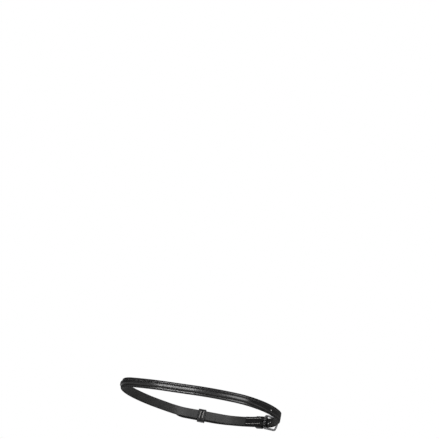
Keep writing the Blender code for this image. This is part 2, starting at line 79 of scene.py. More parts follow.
# Buckle, keepers and thread, as in the part's source
BAR_RADIUS = 0.00125
BAR_GAP = 0.0003
WIRE_RADIUS = 0.0013
SIDE_WIDTH = 0.0029
SIDE_DEPTH = 0.0037
FRAME_OPENING = 0.0146
FRAME_SIDE = 0.0162
FRAME_BOW = 0.0013
FRAME_CORNER = 0.0021
BAR_CORNER = 0.0017
FRAME_ANGLE = math.radians(2.0)
TONGUE_WIDTH = 0.0022
TONGUE_THICKNESS = 0.0016
TONGUE_OVERHANG = 0.0006
TONGUE_SIDE_GAP = 0.0004
KEEPER_THICKNESS = 0.0015
KEEPER_GAP = 0.0004
KEEPER_CORNER = 0.0012
FIXED_KEEPER_LENGTH = 0.0098
FIXED_KEEPER_START = 0.0046
FOOT_LENGTH = 0.0036
FOOT_THICKNESS = 0.0010
RUNNER_LENGTH = 0.0108
RUNNER_PLACE = 0.0221
RUNNER_JOIN_GAP = 0.0003
THREAD_RADIUS = 0.00030
STITCH_INSET = 0.0026
STITCH_PITCH = 0.0028
STITCH_ROW_START = 0.0046
STITCH_COUNT = 9
JOIN_THREAD_RADIUS = 0.00040
JOIN_STITCH_LENGTH = 0.0105
JOIN_STITCH_SPACING = 0.0040
JOIN_STITCH_LEAN = 0.0010

BAR_SHARES = (0.6338, 0.546)
CHIN_RIGHT_SHARES = (0.432, 0.794)
CHIN_LEFT_SHARES = (0.0895, 0.863)
LEFT_SHARES = (
    (-0.034, 0.7635),
    (-0.1375, 0.657),
    (-0.2475, 0.479),
    (-0.292, 0.2915),
    (-0.270, 0.170),
    (-0.189, 0.106),
)
RIGHT_SHARES = (
    (0.2175, -0.098),
    (0.3635, -0.124),
    (0.475, -0.117),
    (0.609, -0.010),
    (0.7045, 0.205),
    (0.700, 0.3535),
)
RUN_START_SHARE = 0.32
RUN_END_SHARE = 0.73
RAISED_SHARES = (0.29, 0.36, 0.79, 0.85)
TIP_WIDTH_SHARES = ((0.0, 0.10), (0.10, 0.40), (0.28, 0.64), (0.55, 0.86), (0.80, 0.97), (1.0, 1.0))

# Finer forms of the leather that only the looks have
CROWN = 0.00010
DOME_POWER = 4.5
RIM_FALL = 0.00060
GRAIN_EDGE_ROUND = 0.00065
GRAIN_ROUND_LIMIT = 0.45
FLESH_EDGE_ROUND = 0.00040
FLESH_ROUND_LIMIT = 0.3
EDGE_BULGE = 0.00006
GROOVE_WIDTH = 0.00024
PLAIN_CREASE_SHARE = 0.5
RIM_DROP = 0.00016
SLOT_HALF = TONGUE_WIDTH / 2.0 + TONGUE_SIDE_GAP
HOLE_POWER = 0.72
WAVE_HEIGHT = 0.00005
WAVE_LENGTH = 0.011
GRAIN_SEED, FLESH_SEED = 1.0, 7.0
FLESH_WAVE_SHARE = 0.5
BEND_REACH = 0.002

# Finer forms of the steel and the keepers. The taper gives the section's size at shares of the shaft
SIDE_EASING = 0.7
SIDE_SQUARENESS = 0.12
SHAFT_START_SHARE = 0.96
TONGUE_TAPER = (
    (1.0, 0.34),
    (0.985, 0.56),
    (0.955, 0.74),
    (0.91, 0.88),
    (0.84, 0.97),
    (0.7, 1.0),
    (0.5, 1.0),
    (0.3, 1.0),
)
TONGUE_POWER = 0.8
NECK_AHEAD = 0.0016
NECK_OUT = 0.0001
TONGUE_TURN_START = math.radians(14.0)
TONGUE_TURN = math.radians(322.0)
KEEPER_LEG = STRAP_WIDTH / 2.0 + KEEPER_GAP + KEEPER_THICKNESS / 2.0
KEEPER_EDGE_ROUND = 0.0005
KEEPER_ROUND_LIMIT = 0.8
KEEPER_CREASE_INSET = 0.0016
KEEPER_CREASE_DEPTH = 0.00016
KEEPER_CREASE_WIDTH = 0.0002
FOOT_GROWTH_CORNERS = 3.0

# Finer forms of the thread: three plies, and how a stitch comes up out of the leather
PLIES = 3.0
PLY_HEIGHT = 0.11
PLY_SINK = 0.06
TWIST_RADII = 7.0
OFF_THREAD = Vector((0.31, 0.17, 0.93))
STITCH_STEEPNESS = 2.2
STITCH_LIFT_SHARE = 0.55
STITCH_SINK = 0.0003
STITCH_END_SIZE = 0.72
STITCH_SPAN = (0.06, 0.86)
STITCH_MIDDLE = 0.46
STITCH_LEAN = 0.00022

# How finely the meshes are stepped. Rings of columns go round a hole, out to the edge of its block
STATION_STEP = 0.0026
STATION_TURN = math.radians(2.6)
ROUTE_STEP = STATION_STEP / 4.0
LEAST_CORNER_STEPS = 12
FOLD_STEPS = 18
TIP_SECTION_SHARES = (0.015, 0.04, 0.08, 0.14, 0.21, 0.3, 0.42, 0.55)
HOLE_RING = 3
BLOCK_RING = 6
BLOCK_BLEND = {4: 0.16, 5: 0.55, 6: 1.0}
HOLE_BLOCK_MARGIN = 0.0019
MIDDLE_COLUMN_SHARES = (0.33, 0.66, 1.0)
OUTER_COLUMN_SHARES = (0.36, 0.70, 1.0)
GROOVE_SHOULDER_SHARE = 0.8
GROOVE_REACH_SHARE = 1.7
EDGE_POINTS = 7
EDGE_UV_STEP = 0.0004
LEAST_SPAN = 1e-6
TOLERANCE = 1e-7
BAR_PATH_SHARES = (0.0, 0.3, 0.6)
SIDE_PATH_SHARES = (0.25, 0.5, 0.75)
FRAME_CORNER_STEPS = 10
BOW_STEPS = 10
FRAME_SECTION_SIDES = 32
TONGUE_TURN_STEPS = 22
TONGUE_SECTION_SIDES = 20
KEEPER_STEP = 0.0009
KEEPER_COLUMNS = 26
KEEPER_CORNER_STEPS = 7
THREAD_SIDES = 18
STITCH_STEPS = 14
QUARTER = math.pi / 2.0

# What the strap's mesh carries for its materials, and the order of these
STRAP_UV = "strap"
BEND = "bend"
GRAIN, FLESH, EDGE, CUT = range(4)

# Colours, the fineness of the leather's texture, and how dull the keepers are
GRAIN_DYE, GRAIN_WORN = (0.0062, 0.0060, 0.0061, 1.0), (0.0120, 0.0116, 0.0116, 1.0)
FLESH_DARK, FLESH_LIGHT = (0.0125, 0.0121, 0.0119, 1.0), (0.0255, 0.0248, 0.0243, 1.0)
EDGE_DYE, EDGE_RUBBED = (0.0040, 0.0039, 0.0040, 1.0), (0.0110, 0.0105, 0.0102, 1.0)
CUT_DARK, CUT_LIGHT = (0.010, 0.0095, 0.0090, 1.0), (0.034, 0.0315, 0.0300, 1.0)
STEEL_BRIGHT, STEEL_RUBBED = (0.18, 0.18, 0.186, 1.0), (0.12, 0.12, 0.124, 1.0)
THREAD_DARK, THREAD_LIGHT = (0.40, 0.39, 0.38, 1.0), (0.58, 0.565, 0.55, 1.0)
THREAD_SOILED = (0.24, 0.235, 0.23, 1.0)
FLOOR_COLOUR = (0.82, 0.82, 0.82, 1.0)
WHITE = (1.0, 1.0, 1.0, 1.0)
CELLS_PER_METRE = 2400.0
PORES_PER_METRE = 6400.0
FUZZ_PER_METRE = 2400.0
KEEPER_DULL = 0.10
KEEPER_GLOSS = 0.22

# Camera, floor and even light
CAMERA_PLACE = Vector((0.0173, -1.3461, -0.3950))
CAMERA_RIGHT = Vector((0.97705, -0.09305, 0.19163))
CAMERA_AHEAD = Vector((0.0, 0.89956, 0.43680))
CAMERA_SENSOR = 36.0
CAMERA_LENS = 85.0
CAMERA_REACH = 50.0
FLOOR_DROP = 0.85
FLOOR_HALF = 6.0
FLOOR_SIDES = 96
FLOOR_ROUGHNESS = 0.9
FLOOR_FADE_START = 0.9
FLOOR_FADE_END = 3.0
WORLD_LIGHT = 0.20
WORLD_MIRRORED = 0.12
WHITE_CONE = 0.95

# Soft boxes: degrees to the left of the front and above the level, distance, width, height and watts
LAMP_TARGET = Vector((0.045, 0.045, 0.0))
LAMPS = (
    ("left_box", 29.5, 9.0, 1.6, 0.13, 1.25, 6.9),
    ("right_box", -13.5, 9.0, 1.6, 0.98, 0.95, 11.9),
    ("top", -40.0, 80.0, 1.6, 1.1, 1.1, 1.5),
    ("side", -142.0, 50.0, 1.8, 0.8, 1.0, 5.0),
    ("back", 164.0, 58.0, 1.8, 0.9, 0.9, 7.0),
)


def ahead_of(heading):
    return Vector((math.cos(heading), math.sin(heading), 0.0))


def right_of(heading):
    return Vector((math.sin(heading), -math.cos(heading), 0.0))


def place(origin, heading, along, out, up):
    """The point that lies along a heading, out to its right and up from an origin."""
    return origin + ahead_of(heading) * along + right_of(heading) * out + Vector((0.0, 0.0, up))


def ring_point(shares):
    return Vector((shares[0] * RING_LENGTH, shares[1] * RING_DEPTH, 0.0))


def smooth(share):
    share = min(1.0, max(0.0, share))
    return share * share * (3.0 - 2.0 * share)


def heading_of(step):
    return math.atan2(step.y, step.x)


def between(first, last, shares):
    return [first + (last - first) * share for share in shares]


def neighbours(items, index):
    """The items before and after one, or itself at an end."""
    return items[max(0, index - 1)], items[min(len(items) - 1, index + 1)]


def arc(centre_x, centre_y, radius, first, last, steps):
    """Points on a circle from a first to a last angle."""
    angles = [first + (last - first) * step / steps for step in range(steps + 1)]
    return [(centre_x + radius * math.cos(angle), centre_y + radius * math.sin(angle)) for angle in angles]


def squared(angle, power):
    """The point at an angle on a circle of radius 1 that a power under 1 makes squarer."""
    ahead, aside = math.cos(angle), math.sin(angle)
    return math.copysign(abs(ahead) ** power, ahead), math.copysign(abs(aside) ** power, aside)


# Route

BAR = ring_point(BAR_SHARES)
FOLD_RADIUS = BAR_RADIUS + BAR_GAP
FOLD_ARC = math.pi * FOLD_RADIUS
CHIN_RIGHT = ring_point(CHIN_RIGHT_SHARES)
CHIN_LEFT = ring_point(CHIN_LEFT_SHARES)
CHAPE_HEADING = heading_of(CHIN_RIGHT - BAR) + math.asin(FOLD_RADIUS / (CHIN_RIGHT - BAR).length)
CHAPE_START = place(BAR, CHAPE_HEADING, 0.0, FOLD_RADIUS, 0.0)
CHAPE_END = place(CHAPE_START, CHAPE_HEADING, CHAPE_RUN, 0.0, 0.0)
BILLET_OFFSET = CHAPE_THICKNESS + LAYER_GAP
CROSSING_END = place(CHAPE_START, CHAPE_HEADING, 0.0, BILLET_OFFSET, 0.0)
CROSSING_CORNER = place(CROSSING_END, CHAPE_HEADING, -CROSSING_LEG, 0.0, 0.0)


def route_corners():
    run_start = CHIN_RIGHT.lerp(CHIN_LEFT, RUN_START_SHARE)
    run_end = CHIN_RIGHT.lerp(CHIN_LEFT, RUN_END_SHARE)
    seat = [ahead_of(SEAT_SLOPE) * (side * SEAT_LENGTH) for side in (-1.0, 0.0, 1.0)]
    return (
        [CHAPE_END, CHIN_RIGHT, run_start, run_end, CHIN_LEFT]
        + [ring_point(shares) for shares in LEFT_SHARES]
        + seat
        + [ring_point(shares) for shares in RIGHT_SHARES]
        + [CROSSING_CORNER, CROSSING_END]
    )


def rounded(corners):
    """Fine points and headings along corners rounded to meet the middle of each side."""
    stations = []
    last = len(corners) - 2
    for index in range(1, last + 1):
        before, corner, after = corners[index - 1 : index + 2]
        start = before if index == 1 else before.lerp(corner, 0.5)
        end = after if index == last else corner.lerp(after, 0.5)
        length = (corner - start).length + (end - corner).length
        steps = max(LEAST_CORNER_STEPS, math.ceil(length / ROUTE_STEP))
        for step in range(1 if stations else 0, steps + 1):
            share = step / steps
            point = start.lerp(corner, share).lerp(corner.lerp(end, share), share)
            stations.append((point, heading_of((corner - start).lerp(end - corner, share))))
    return stations


RING = [(CHAPE_START, CHAPE_HEADING)] + rounded(route_corners())
RING_LENGTHS = [0.0]
for (ring_here, _), (ring_there, _) in zip(RING, RING[1:]):
    RING_LENGTHS.append(RING_LENGTHS[-1] + (ring_there - ring_here).length)
RING_TOTAL = RING_LENGTHS[-1]
STRAP_START = -FOLD_ARC - TURN_BACK_LENGTH
STRAP_END = RING_TOTAL + BILLET_OVERLAP


def on_ring(length):
    """Point and heading on the flesh side at a length from the bar."""
    index = min(len(RING) - 2, max(0, bisect.bisect_right(RING_LENGTHS, length) - 1))
    (here, first), (there, second) = RING[index : index + 2]
    share = (length - RING_LENGTHS[index]) / max(1e-12, RING_LENGTHS[index + 1] - RING_LENGTHS[index])
    turn = (second - first + math.pi) % (2.0 * math.pi) - math.pi
    return here.lerp(there, share), first + turn * share


def raised_at(length):
    rise, full, fall, end = (share * RING_TOTAL for share in RAISED_SHARES)
    return smooth((length - rise) / (full - rise)) * smooth((end - length) / (end - fall))


def thickness_at(length):
    joined = smooth(length / CHAPE_RUN)
    plain = CHAPE_THICKNESS + (STRAP_THICKNESS - CHAPE_THICKNESS) * joined
    return plain + (RAISED_THICKNESS - STRAP_THICKNESS) * raised_at(length)


def ply_opening(length):
    open_at_bar = 2.0 * FOLD_RADIUS
    return open_at_bar + (LAYER_GAP - open_at_bar) * smooth(length / PLY_CLOSING_LENGTH)


def tip_share(from_tip):
    share = min(1.0, from_tip / TIP_LENGTH)
    for (low, narrow), (high, wide) in zip(TIP_WIDTH_SHARES, TIP_WIDTH_SHARES[1:]):
        if share <= high:
            return narrow + (wide - narrow) * (share - low) / (high - low)
    return 1.0


def strap_at(length):
    """Point, heading, distance out to the flesh side, thickness, raise and share of the width at a length.

    Lengths below 0 lie on the fold round the bar, and then on the ply that is turned back.
    """
    if length < -FOLD_ARC:
        back = -FOLD_ARC - length
        small = STATION_STEP / 2.0
        slope = (ply_opening(back + small) - ply_opening(back - small)) / (2.0 * small)
        slope *= smooth(back / (4.0 * small))
        point = place(CHAPE_START, CHAPE_HEADING, back, -ply_opening(back), 0.0)
        thinned = smooth(back / TURN_BACK_LENGTH)
        thickness = CHAPE_THICKNESS + (SKIVED_THICKNESS - CHAPE_THICKNESS) * thinned
        return point, CHAPE_HEADING + math.pi + math.atan(slope), 0.0, thickness, 0.0, 1.0
    if length < 0.0:
        heading = CHAPE_HEADING + math.pi * (2.0 + length / FOLD_ARC)
        return BAR, heading, FOLD_RADIUS, CHAPE_THICKNESS, 0.0, 1.0
    if length <= RING_TOTAL:
        point, heading = on_ring(length)
        return point, heading, 0.0, thickness_at(length), raised_at(length), 1.0
    past = length - RING_TOTAL
    point, heading = on_ring(past)
    drop = BILLET_DROP * smooth((past - DROP_START) / (DROP_END - DROP_START))
    from_tip = BILLET_OVERLAP - past
    thickness = TIP_THICKNESS + (STRAP_THICKNESS - TIP_THICKNESS) * smooth(from_tip / TIP_LENGTH)
    base = thickness_at(past) + LAYER_GAP
    point = place(point, heading, 0.0, 0.0, -drop)
    return point, heading, base, thickness, 0.0, tip_share(max(0.0, from_tip))


def turn_between(first, second):
    """How far the strap's heading turns between two lengths."""
    turn = abs(strap_at(second)[1] - strap_at(first)[1])
    return min(turn, abs(turn - 2.0 * math.pi))


def wave(length, up, seed):
    """A slow unevenness of hand-worked leather."""
    return WAVE_HEIGHT * noise.noise(Vector((length / WAVE_LENGTH, up / WAVE_LENGTH, seed)))


def grain_height(up, thickness, raised):
    """How far the grain side stands out from the flesh side."""
    half = STRAP_WIDTH / 2.0
    inner = half - CREASE_INSET - GROOVE_WIDTH
    crown = (CROWN + RIM_FALL * raised) * (1.0 - (up / half) ** 2)
    dome = (RAISE_HEIGHT - RIM_FALL) * raised * max(0.0, 1.0 - abs(up / inner) ** DOME_POWER)
    depth = CREASE_DEPTH * (PLAIN_CREASE_SHARE + (1.0 - PLAIN_CREASE_SHARE) * raised)
    groove = depth * math.exp(-(((abs(up) - half + CREASE_INSET) / GROOVE_WIDTH) ** 2))
    return thickness + crown + dome - groove


def strap_point(length, up, side, sunk=0.0):
    """A point of the strap's grain side (1) or flesh side (-1), sunk into the leather."""
    point, heading, base, thickness, raised, width = strap_at(length)
    if side > 0:
        out = grain_height(up, thickness, raised) - sunk + wave(length, up, GRAIN_SEED)
    else:
        out = sunk + wave(length, up, FLESH_SEED) * FLESH_WAVE_SHARE
    return place(point, heading, 0.0, base + out, up * width)


# Strap


def face_columns():
    """Distances from the middle to each column of the grain and flesh sides."""
    hole = HOLE_WIDTH / 2.0
    crease = STRAP_WIDTH / 2.0 - CREASE_INSET
    edge = STRAP_WIDTH / 2.0 - GRAIN_EDGE_ROUND
    reach = GROOVE_WIDTH * GROOVE_REACH_SHARE
    shoulder = GROOVE_WIDTH * GROOVE_SHOULDER_SHARE
    inner = [hole * ring / HOLE_RING for ring in range(HOLE_RING + 1)]
    groove = [crease - shoulder, crease, crease + shoulder, crease + reach]
    middle = between(hole, crease - reach, MIDDLE_COLUMN_SHARES)
    return inner + middle + groove + between(crease + reach, edge, OUTER_COLUMN_SHARES)


COLUMNS = face_columns()
LAST_COLUMN = len(COLUMNS) - 1


def column_at(index):
    """Distance up of a column that may lie between two."""
    whole = min(LAST_COLUMN - 1, int(abs(index)))
    rest = abs(index) - whole
    return math.copysign(COLUMNS[whole] + (COLUMNS[whole + 1] - COLUMNS[whole]) * rest, index)


def tongue_heading():
    lift = WIRE_RADIUS + BAR_GAP + TONGUE_THICKNESS / 2.0
    return FRAME_ANGLE + math.atan2(lift, FRAME_SIDE + FRAME_BOW)


def hole_places():
    """Length along the strap, half length and half width of each hole. The tongue has drawn one out."""
    tongue = ahead_of(tongue_heading())
    used = RING_TOTAL
    for index in range(len(RING) - 2, 0, -1):
        point, heading = RING[index]
        from_bar = place(point, heading, 0.0, STRAP_THICKNESS / 2.0, 0.0) - BAR
        if tongue.x * from_bar.y - tongue.y * from_bar.x < 0.0:
            used = RING_LENGTHS[index]
            break
    holes = []
    for index in range(-HOLES_BEFORE_BUCKLE, HOLES_AFTER_BUCKLE + 1):
        long, wide = (HOLE_LENGTH, HOLE_WIDTH) if index else (USED_HOLE_LENGTH, USED_HOLE_WIDTH)
        holes.append((used + index * HOLE_PITCH, long / 2.0, wide / 2.0))
    return holes


def hole_point(ahead, across, half_long, half_wide):
    """Distance along and up of a vertex in the block of columns round a punched hole."""
    ring = max(abs(ahead), abs(across))
    if ring == 0:
        return 0.0, 0.0
    wide, high = squared(math.atan2(across, ahead), HOLE_POWER)
    wide, high = wide * half_long, high * half_wide
    if ring <= HOLE_RING:
        return wide * ring / HOLE_RING, high * ring / HOLE_RING
    far_along = ahead / ring * (half_long + HOLE_BLOCK_MARGIN)
    far_up = column_at(across * BLOCK_RING / ring)
    blend = BLOCK_BLEND[ring]
    return wide + (far_along - wide) * blend, high + (far_up - high) * blend


def strap_stations():
    """Lengths with a section, the punched holes, and the first and last length of the tongue's slot."""
    holes = hole_places()
    slot_back = BAR_RADIUS + BAR_GAP + TONGUE_THICKNESS + TONGUE_SIDE_GAP
    slot = (-FOLD_ARC - slot_back, slot_back)
    fixed = [STRAP_START, *slot, STRAP_END]
    fixed += [-FOLD_ARC + FOLD_ARC * step / FOLD_STEPS for step in range(FOLD_STEPS + 1)]
    fixed += [STRAP_END - TIP_LENGTH * share for share in TIP_SECTION_SHARES]
    for hole, half_long, _ in holes:
        block = half_long + HOLE_BLOCK_MARGIN
        fixed += [hole + block * step / BLOCK_RING for step in range(-BLOCK_RING, BLOCK_RING + 1)]
    fixed.sort()
    lengths = [fixed[0]]
    for nearest in fixed[1:]:
        start = lengths[-1]
        span = nearest - start
        if span < LEAST_SPAN:
            continue
        inside = any(
            max(abs(nearest - hole), abs(start - hole)) <= half_long + HOLE_BLOCK_MARGIN + TOLERANCE
            for hole, half_long, _ in holes
        )
        turn_steps = math.ceil(turn_between(start, nearest) / STATION_TURN)
        steps = 1 if inside else max(1, math.ceil(span / STATION_STEP), turn_steps)
        lengths += [start + span * step / steps for step in range(1, steps + 1)]
    return lengths, holes, slot


def edge_points(length, side):
    """Points round the dyed edge, from the grain side to the flesh side."""
    point, heading, base, thickness, _, width = strap_at(length)
    half = STRAP_WIDTH / 2.0
    grain = min(GRAIN_EDGE_ROUND, thickness * GRAIN_ROUND_LIMIT)
    flesh = min(FLESH_EDGE_ROUND, thickness * FLESH_ROUND_LIMIT)
    third = math.pi / 3.0
    points = arc(half - grain, thickness - grain, grain, third, 0.0, 2)
    points.append((half + EDGE_BULGE, (thickness - grain + flesh) / 2.0))
    points += arc(half - flesh, flesh, flesh, 0.0, -third, 2)
    return [place(point, heading, 0.0, base + out, side * up * width) for up, out in points]


def strap_rows():
    """Rows of vertices across the strap, the vertices, their places on the flat strap, and the holes."""
    lengths, holes, slot = strap_stations()
    vertices, uvs, rows = [], [], []

    def add(point, along, across):
        vertices.append(point)
        uvs.append((along, across))
        return len(vertices) - 1

    for length in lengths:
        row = {}
        hole, step = None, 0
        for near in holes:
            block = near[1] + HOLE_BLOCK_MARGIN
            if hole is None and abs(length - near[0]) <= block + TOLERANCE:
                hole, step = near, round((length - near[0]) / block * BLOCK_RING)
        in_slot = slot[0] - TOLERANCE <= length <= slot[1] + TOLERANCE
        for side in (1, -1):
            for column in range(-LAST_COLUMN, LAST_COLUMN + 1):
                along, up, sunk = length, column_at(column), 0.0
                if hole is not None and abs(column) <= BLOCK_RING:
                    ahead, up = hole_point(step, column, hole[1], hole[2])
                    along = hole[0] + ahead
                    if max(abs(step), abs(column)) <= HOLE_RING:
                        sunk = RIM_DROP
                if in_slot and abs(column) <= HOLE_RING:
                    turn = column / HOLE_RING * QUARTER
                    up = SLOT_HALF * math.sin(turn)
                    bow = SLOT_HALF * (1.0 - math.cos(turn))
                    if abs(length - slot[0]) < TOLERANCE:
                        along = length + bow
                    elif abs(length - slot[1]) < TOLERANCE:
                        along = length - bow
                    sunk = RIM_DROP
                row[side, column] = add(strap_point(along, up, side, sunk), along, up)
        for side in (1, -1):
            for number, point in enumerate(edge_points(length, side)):
                across = side * (STRAP_WIDTH / 2.0 + number * EDGE_UV_STEP)
                row[side, "edge", number] = add(point, length, across)
        row.update(hole=hole, step=step, slot=in_slot)
        rows.append(row)
    return rows, vertices, uvs, holes


def strap_faces(rows, holes):
    """The faces between rows of vertices, and which material each one takes."""
    faces, kinds = [], []

    def face(kind, *corners):
        faces.append(corners)
        kinds.append(kind)

    def is_open(here, there, column):
        """True for the face between two rows that a hole or the slot takes away."""
        if here["slot"] and there["slot"] and -HOLE_RING <= column < HOLE_RING:
            return True
        if here["hole"] is None or here["hole"] != there["hole"]:
            return False
        return -HOLE_RING <= here["step"] < HOLE_RING and -HOLE_RING <= column < HOLE_RING

    def edge_loop(row, side):
        """Vertices round one edge, from the grain side to the flesh side."""
        edge = [row[side, "edge", number] for number in range(EDGE_POINTS)]
        return [row[1, side * LAST_COLUMN], *edge, row[-1, side * LAST_COLUMN]]

    def rim(open_rows):
        """The cut leather round an opening that spans some rows."""
        loop = [(row, -HOLE_RING) for row in open_rows]
        loop += [(open_rows[-1], column) for column in range(-HOLE_RING + 1, HOLE_RING + 1)]
        loop += [(row, HOLE_RING) for row in reversed(open_rows[:-1])]
        loop += [(open_rows[0], column) for column in range(HOLE_RING - 1, -HOLE_RING, -1)]
        for (row_a, a), (row_b, b) in zip(loop, loop[1:] + loop[:1]):
            face(CUT, row_a[1, a], row_b[1, b], row_b[-1, b], row_a[-1, a])

    for here, there in zip(rows, rows[1:]):
        for column in range(-LAST_COLUMN, LAST_COLUMN):
            if is_open(here, there, column):
                continue
            after = column + 1
            face(GRAIN, here[1, column], there[1, column], there[1, after], here[1, after])
            face(FLESH, here[-1, column], here[-1, after], there[-1, after], there[-1, column])
        for side in (1, -1):
            loop_here, loop_there = edge_loop(here, side), edge_loop(there, side)
            for n in range(EDGE_POINTS + 1):
                corners = (loop_here[n], loop_there[n], loop_there[n + 1], loop_here[n + 1])
                face(EDGE, *corners[::side])
    for hole in holes:
        rim([row for row in rows if row["hole"] == hole and abs(row["step"]) <= HOLE_RING])
    rim([row for row in rows if row["slot"]])
    for end, order in ((rows[0], -1), (rows[-1], 1)):
        for column in range(-LAST_COLUMN, LAST_COLUMN):
            corners = (end[1, column], end[-1, column], end[-1, column + 1], end[1, column + 1])
            face(EDGE, *corners[::order])
        for side in (1, -1):
            face(EDGE, *edge_loop(end, side)[:: -side * order])
    return faces, kinds


def build_strap():
    rows, vertices, uvs, holes = strap_rows()
    faces, kinds = strap_faces(rows, holes)
    mesh = bpy.data.meshes.new("strap_leather")
    mesh.from_pydata(vertices, [], faces)
    mesh.validate()
    layer = mesh.uv_layers.new(name=STRAP_UV)
    for polygon in mesh.polygons:
        for loop in polygon.loop_indices:
            layer.data[loop].uv = uvs[mesh.loops[loop].vertex_index]
    bends = []
    for along, _ in uvs:
        near, far = max(STRAP_START, along - BEND_REACH), min(STRAP_END, along + BEND_REACH)
        bends.append(turn_between(near, far) / (far - near))
    mesh.attributes.new(BEND, "FLOAT", "POINT").data.foreach_set("value", bends)
    for made in (leather_grain(), leather_flesh(), leather_edge(), leather_cut()):
        mesh.materials.append(made)
    mesh.polygons.foreach_set("material_index", kinds)
    finish_mesh(mesh, sharp_degrees=48.0)
    piece("strap_leather", mesh, "strap_body", "leather", "strap")


def finish_mesh(mesh, sharp_degrees):
    """Smooth shading, with sharp edges kept, and faces turned outwards."""
    builder = bmesh.new()
    builder.from_mesh(mesh)
    bmesh.ops.recalc_face_normals(builder, faces=builder.faces)
    if builder.calc_volume(signed=True) < 0.0:
        bmesh.ops.reverse_faces(builder, faces=builder.faces)
    builder.to_mesh(mesh)
    builder.free()
    mesh.shade_smooth()
    mesh.set_sharp_from_angle(angle=math.radians(sharp_degrees))
    mesh.update()


def add_object(name, data):
    made = bpy.data.objects.new(name, data)
    bpy.context.scene.collection.objects.link(made)
    return made


def piece(name, mesh, body, slot, *nodes):
    """A mesh as a piece that rides on a body, in place of nodes. The slot is not used."""
    made = add_object(name, mesh)
    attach(made, body)
    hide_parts(*nodes)


def swept(name, rings, closed, material, body, slot, node, sharp_degrees):
    """A piece that is a skin between rings of points."""
    count = len(rings[0])
    vertices = [point for ring in rings for point in ring]
    faces = []
    for row in range(len(rings) if closed else len(rings) - 1):
        here, there = row * count, (row + 1) % len(rings) * count
        for column in range(count):
            after = (column + 1) % count
            faces.append((here + column, here + after, there + after, there + column))
    if not closed:
        faces.append(tuple(range(count)))
        faces.append(tuple(range(len(vertices) - count, len(vertices))))
    mesh = bpy.data.meshes.new(name)
    mesh.from_pydata(vertices, [], faces)
    mesh.materials.append(material)
    finish_mesh(mesh, sharp_degrees)
    piece(name, mesh, body, slot, node)


# Buckle


def rounded_frame_path():
    """Centre line of the frame: distances along and up, from the bar's middle all the way round."""
    half = (FRAME_OPENING + SIDE_WIDTH) / 2.0
    side_end = FRAME_SIDE - FRAME_CORNER
    bow_half = half - FRAME_CORNER
    points = [(0.0, up) for up in between(0.0, half, BAR_PATH_SHARES)]
    points += arc(BAR_CORNER, half - BAR_CORNER, BAR_CORNER, 2.0 * QUARTER, QUARTER, FRAME_CORNER_STEPS)
    points += [(along, half) for along in between(BAR_CORNER, side_end, SIDE_PATH_SHARES)]
    points += arc(side_end, bow_half, FRAME_CORNER, QUARTER, 0.0, FRAME_CORNER_STEPS)
    for step in range(1, BOW_STEPS + 1):
        up = bow_half * (1.0 - step / BOW_STEPS)
        points.append((FRAME_SIDE + FRAME_BOW - FRAME_BOW * (up / bow_half) ** 2, up))
    mirrored = [(along, -up) for along, up in reversed(points[1:-1])]
    return points + mirrored


def build_frame():
    """The frame: round on both bars, and deeper and squarer on the sides."""
    outline = rounded_frame_path()
    path = [place(BAR, FRAME_ANGLE, along, 0.0, up) for along, up in outline]
    across = right_of(FRAME_ANGLE)
    rings = []
    for index, point in enumerate(path):
        before = (point - path[index - 1]).normalized()
        after = (path[(index + 1) % len(path)] - point).normalized()
        tangent = (before + after).normalized()
        inwards = tangent.cross(across)
        on_side = smooth(1.0 - abs(tangent.z)) ** SIDE_EASING
        bar = BAR_RADIUS if outline[index][0] < BAR_CORNER else WIRE_RADIUS
        width = bar + (SIDE_WIDTH / 2.0 - bar) * on_side
        depth = bar + (SIDE_DEPTH / 2.0 - bar) * on_side
        ring = []
        for number in range(FRAME_SECTION_SIDES):
            angle = 2.0 * math.pi * number / FRAME_SECTION_SIDES
            deep, wide = squared(angle, 1.0 - SIDE_SQUARENESS * on_side)
            ring.append(point + across * (deep * depth) + inwards * (wide * width))
        rings.append(ring)
    made = steel("frame_steel")
    swept("buckle_frame_steel", rings, True, made, "frame", "steel", "buckle_frame", sharp_degrees=80.0)


def build_tongue():
    """A flat wire, tapered to the tip and turned round the bar until its end lies on the shaft."""
    heading = tongue_heading()
    middle = BAR_RADIUS + BAR_GAP + TONGUE_THICKNESS / 2.0
    start = middle * SHAFT_START_SHARE
    reach = FRAME_SIDE + FRAME_BOW + WIRE_RADIUS + TONGUE_OVERHANG
    path = [(start + (reach - start) * share, 0.0, size) for share, size in TONGUE_TAPER]
    path.append((middle + NECK_AHEAD, NECK_OUT, 1.0))
    for step in range(TONGUE_TURN_STEPS + 1):
        angle = TONGUE_TURN_START + TONGUE_TURN * step / TONGUE_TURN_STEPS
        path.append((middle * math.cos(angle), middle * math.sin(angle), 1.0))
    rings = []
    for index, (along, out, size) in enumerate(path):
        before, after = neighbours(path, index)
        step = Vector((after[0] - before[0], after[1] - before[1], 0.0)).normalized()
        ring = []
        for number in range(TONGUE_SECTION_SIDES):
            angle = 2.0 * math.pi * number / TONGUE_SECTION_SIDES
            wide, thick = squared(angle, TONGUE_POWER)
            wide = wide * TONGUE_WIDTH / 2.0 * size
            thick = thick * TONGUE_THICKNESS / 2.0 * size
            ring.append(place(BAR, heading, along - step.y * thick, out + step.x * thick, wide))
        rings.append(ring)
    made = steel("tongue_steel")
    swept("buckle_tongue_steel", rings, False, made, "tongue", "steel", "buckle_tongue", sharp_degrees=50.0)


# Keepers


def filled(points, longest):
    """The same path with long straight stretches divided."""
    path = [points[0]]
    for here, there in zip(points, points[1:]):
        steps = max(1, math.ceil(math.dist(here, there) / longest))
        for step in range(1, steps + 1):
            share = step / steps
            path.append((here[0] + (there[0] - here[0]) * share, here[1] + (there[1] - here[1]) * share))
    return path


